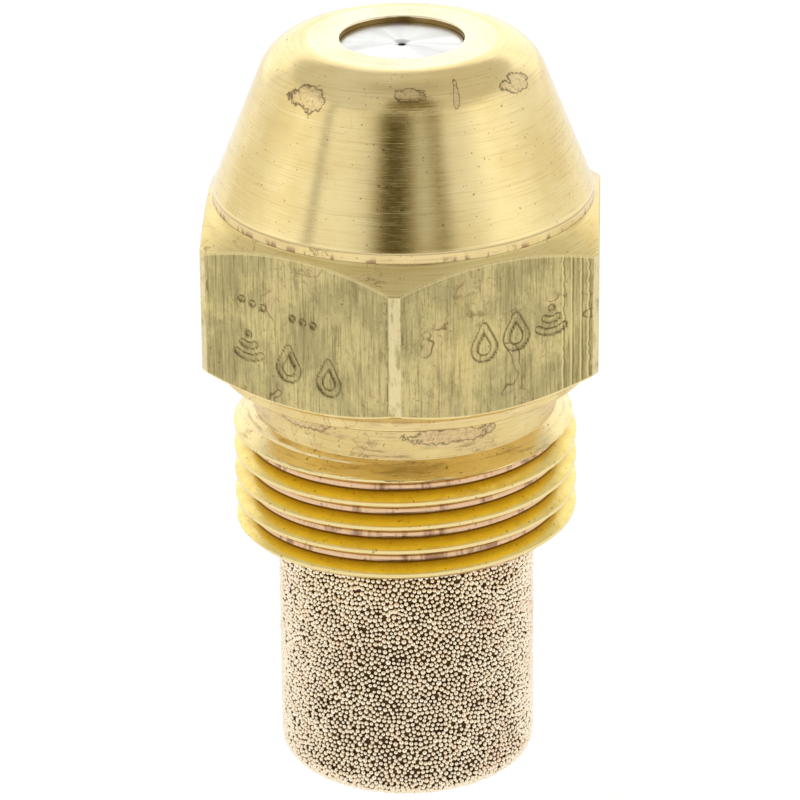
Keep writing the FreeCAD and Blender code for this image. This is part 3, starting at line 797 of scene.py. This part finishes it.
def make_world():
    """A white tent with dark gaps where the camera looks in, and a dimmer roof."""
    world = bpy.data.worlds.new("tent")
    world.use_nodes = True
    bpy.context.scene.world = world
    tree = world.node_tree

    def add(kind, values, **settings):
        node = tree.nodes.new(kind)
        for key, value in settings.items():
            setattr(node, key, value)
        for key, value in values.items():
            if isinstance(value, bpy.types.NodeSocket):
                tree.links.new(value, node.inputs[key])
            else:
                node.inputs[key].default_value = value
        return node.outputs[0]

    def math_node(operation, a, b=0.0, c=0.0):
        return add("ShaderNodeMath", {0: a, 1: b, 2: c}, operation=operation)

    direction = add("ShaderNodeTexCoord", {})
    axes = tree.nodes.new("ShaderNodeSeparateXYZ")
    tree.links.new(direction, axes.inputs[0])
    side = math_node("ARCTAN2", axes.outputs[0], math_node("MULTIPLY", axes.outputs[1], -1.0))
    turn = math_node("MULTIPLY_ADD", side, 1 / (2 * math.pi), 0.5 - CAMERA_SIDE / 360)
    rise = math_node("ARCSINE", axes.outputs[2])

    ramp = tree.nodes.new("ShaderNodeValToRGB")
    tree.links.new(turn, ramp.inputs[0])
    stops = ramp.color_ramp.elements
    stops.remove(stops[1])
    stops[0].position = 0
    for degrees, light in TENT:
        stop = stops[0] if degrees == -180 else stops.new(degrees / 360 + 0.5)
        stop.color = (light / 2, light / 2, light / 2, 1)
    round_light = math_node("MULTIPLY", ramp.outputs[0], 2.0)

    def step(value, low, high, first=0.0, last=1.0):
        values = {"Value": value, "From Min": low, "From Max": high, "To Min": first, "To Max": last}
        return add("ShaderNodeMapRange", values, interpolation_type="SMOOTHSTEP")

    def step_degrees(value, low, high, first=0.0, last=1.0):
        return step(value, math.radians(low), math.radians(high), first, last)

    def mix(share, first, second):
        return math_node("ADD", math_node("MULTIPLY", math_node("SUBTRACT", 1.0, share), first),
                         math_node("MULTIPLY", share, second))

    # The upper tent, with a second dark gap over the first one.
    upper = mix(step_degrees(rise, 60, 85), SHOULDER, ROOF)
    off = math_node("ABSOLUTE", math_node("SUBTRACT", side, math.radians(12)))
    gap = math_node("MULTIPLY", step_degrees(off, 18, 32, 1.0, 0.0),
                    math_node("MULTIPLY", step_degrees(rise, 37, 43), step_degrees(rise, 58, 70, 1.0, 0.0)))
    upper = mix(math_node("MULTIPLY", gap, 0.85), upper, 0.12)
    light = mix(step_degrees(rise, 29, 37), round_light, upper)
    # What is dark in the tent is warm.
    background = tree.nodes["Background"]
    tint = tree.nodes.new("ShaderNodeMix")
    tint.data_type = "RGBA"
    tree.links.new(step(light, 0.1, 0.65), tint.inputs[0])
    tint.inputs[6].default_value = (1.0, 0.84, 0.40, 1)
    tint.inputs[7].default_value = (1, 1, 1, 1)
    tree.links.new(tint.outputs[2], background.inputs["Color"])
    tree.links.new(light, background.inputs["Strength"])
    # The camera itself sees plain white where the floor ends.
    plain = tree.nodes.new("ShaderNodeBackground")
    plain.inputs["Color"].default_value = (1, 1, 1, 1)
    plain.inputs["Strength"].default_value = 1.1
    choose = tree.nodes.new("ShaderNodeMixShader")
    tree.links.new(tree.nodes.new("ShaderNodeLightPath").outputs["Is Camera Ray"], choose.inputs[0])
    tree.links.new(background.outputs[0], choose.inputs[1])
    tree.links.new(plain.outputs[0], choose.inputs[2])
    tree.links.new(choose.outputs[0], tree.nodes["World Output"].inputs["Surface"])


def make_floor():
    """A pale, softly lit floor, low enough for the screw's whole travel. From below it isn't seen."""
    level = (FILTER_LOW.z - TRAVEL) * MM - 0.2 * MM
    size = 1.5
    mesh = bpy.data.meshes.new("floor")
    mesh.from_pydata([(-size, -size, level), (size, -size, level), (size, size, level),
                      (-size, size, level)], [], [(0, 1, 2, 3)])
    floor = bpy.data.objects.new("floor", mesh)
    bpy.context.scene.collection.objects.link(floor)
    look = Look("floor_white", 0.8, 0.0)
    look.shader.inputs["Emission Color"].default_value = (1, 1, 1, 1)
    look.shader.inputs["Emission Strength"].default_value = 0.55
    mesh.materials.append(look.finish((0.62, 0.62, 0.62)))
    seen = look.add("ShaderNodeMixShader", {0: look.add("ShaderNodeNewGeometry").outputs["Backfacing"],
                                            1: look.shader.outputs[0],
                                            2: look.add("ShaderNodeBsdfTransparent").outputs[0]})
    look.put(look.tree.nodes["Material Output"].inputs["Surface"], seen.outputs[0])


def make_camera():
    """A long lens, a little to the right of the near corner of the hexagon and above it."""
    target = Vector((0, 0, 5.23)) * MM
    distance, raised, side = 209.0 * MM, math.radians(23.52), math.radians(CAMERA_SIDE)
    back = Vector((math.sin(side) * math.cos(raised), -math.cos(side) * math.cos(raised),
                   math.sin(raised)))
    data = bpy.data.cameras.new("camera")
    data.sensor_width = 36
    data.lens = 227.2
    data.shift_x, data.shift_y = -0.00625, -0.0038125
    data.clip_start, data.clip_end = 0.01, 10
    camera = bpy.data.objects.new("camera", data)
    bpy.context.scene.collection.objects.link(camera)
    camera.rotation_mode = "QUATERNION"
    camera.location = target + back * distance
    roll = Quaternion((0, 0, 1), math.radians(-0.498))
    camera.rotation_quaternion = (-back).to_track_quat("-Z", "Y") @ roll
    bpy.context.scene.camera = camera


bpy.context.scene.view_settings.view_transform = "Standard"
make_world()
make_floor()
make_camera()
make_body(body_materials())
make_disc(steel("steel_disc_face", (0.76, 0.76, 0.74), 1.0))
make_filter(bead_bronze(), gap_shade_bronze())
coat_node("swirl_cone", steel("steel_cone", (0.58, 0.57, 0.55), 3.0))
coat_node("retaining_screw", turned_brass("brass_screw", GOLD, 0.22, 1.0, 9.0, 0.4, 0.0))
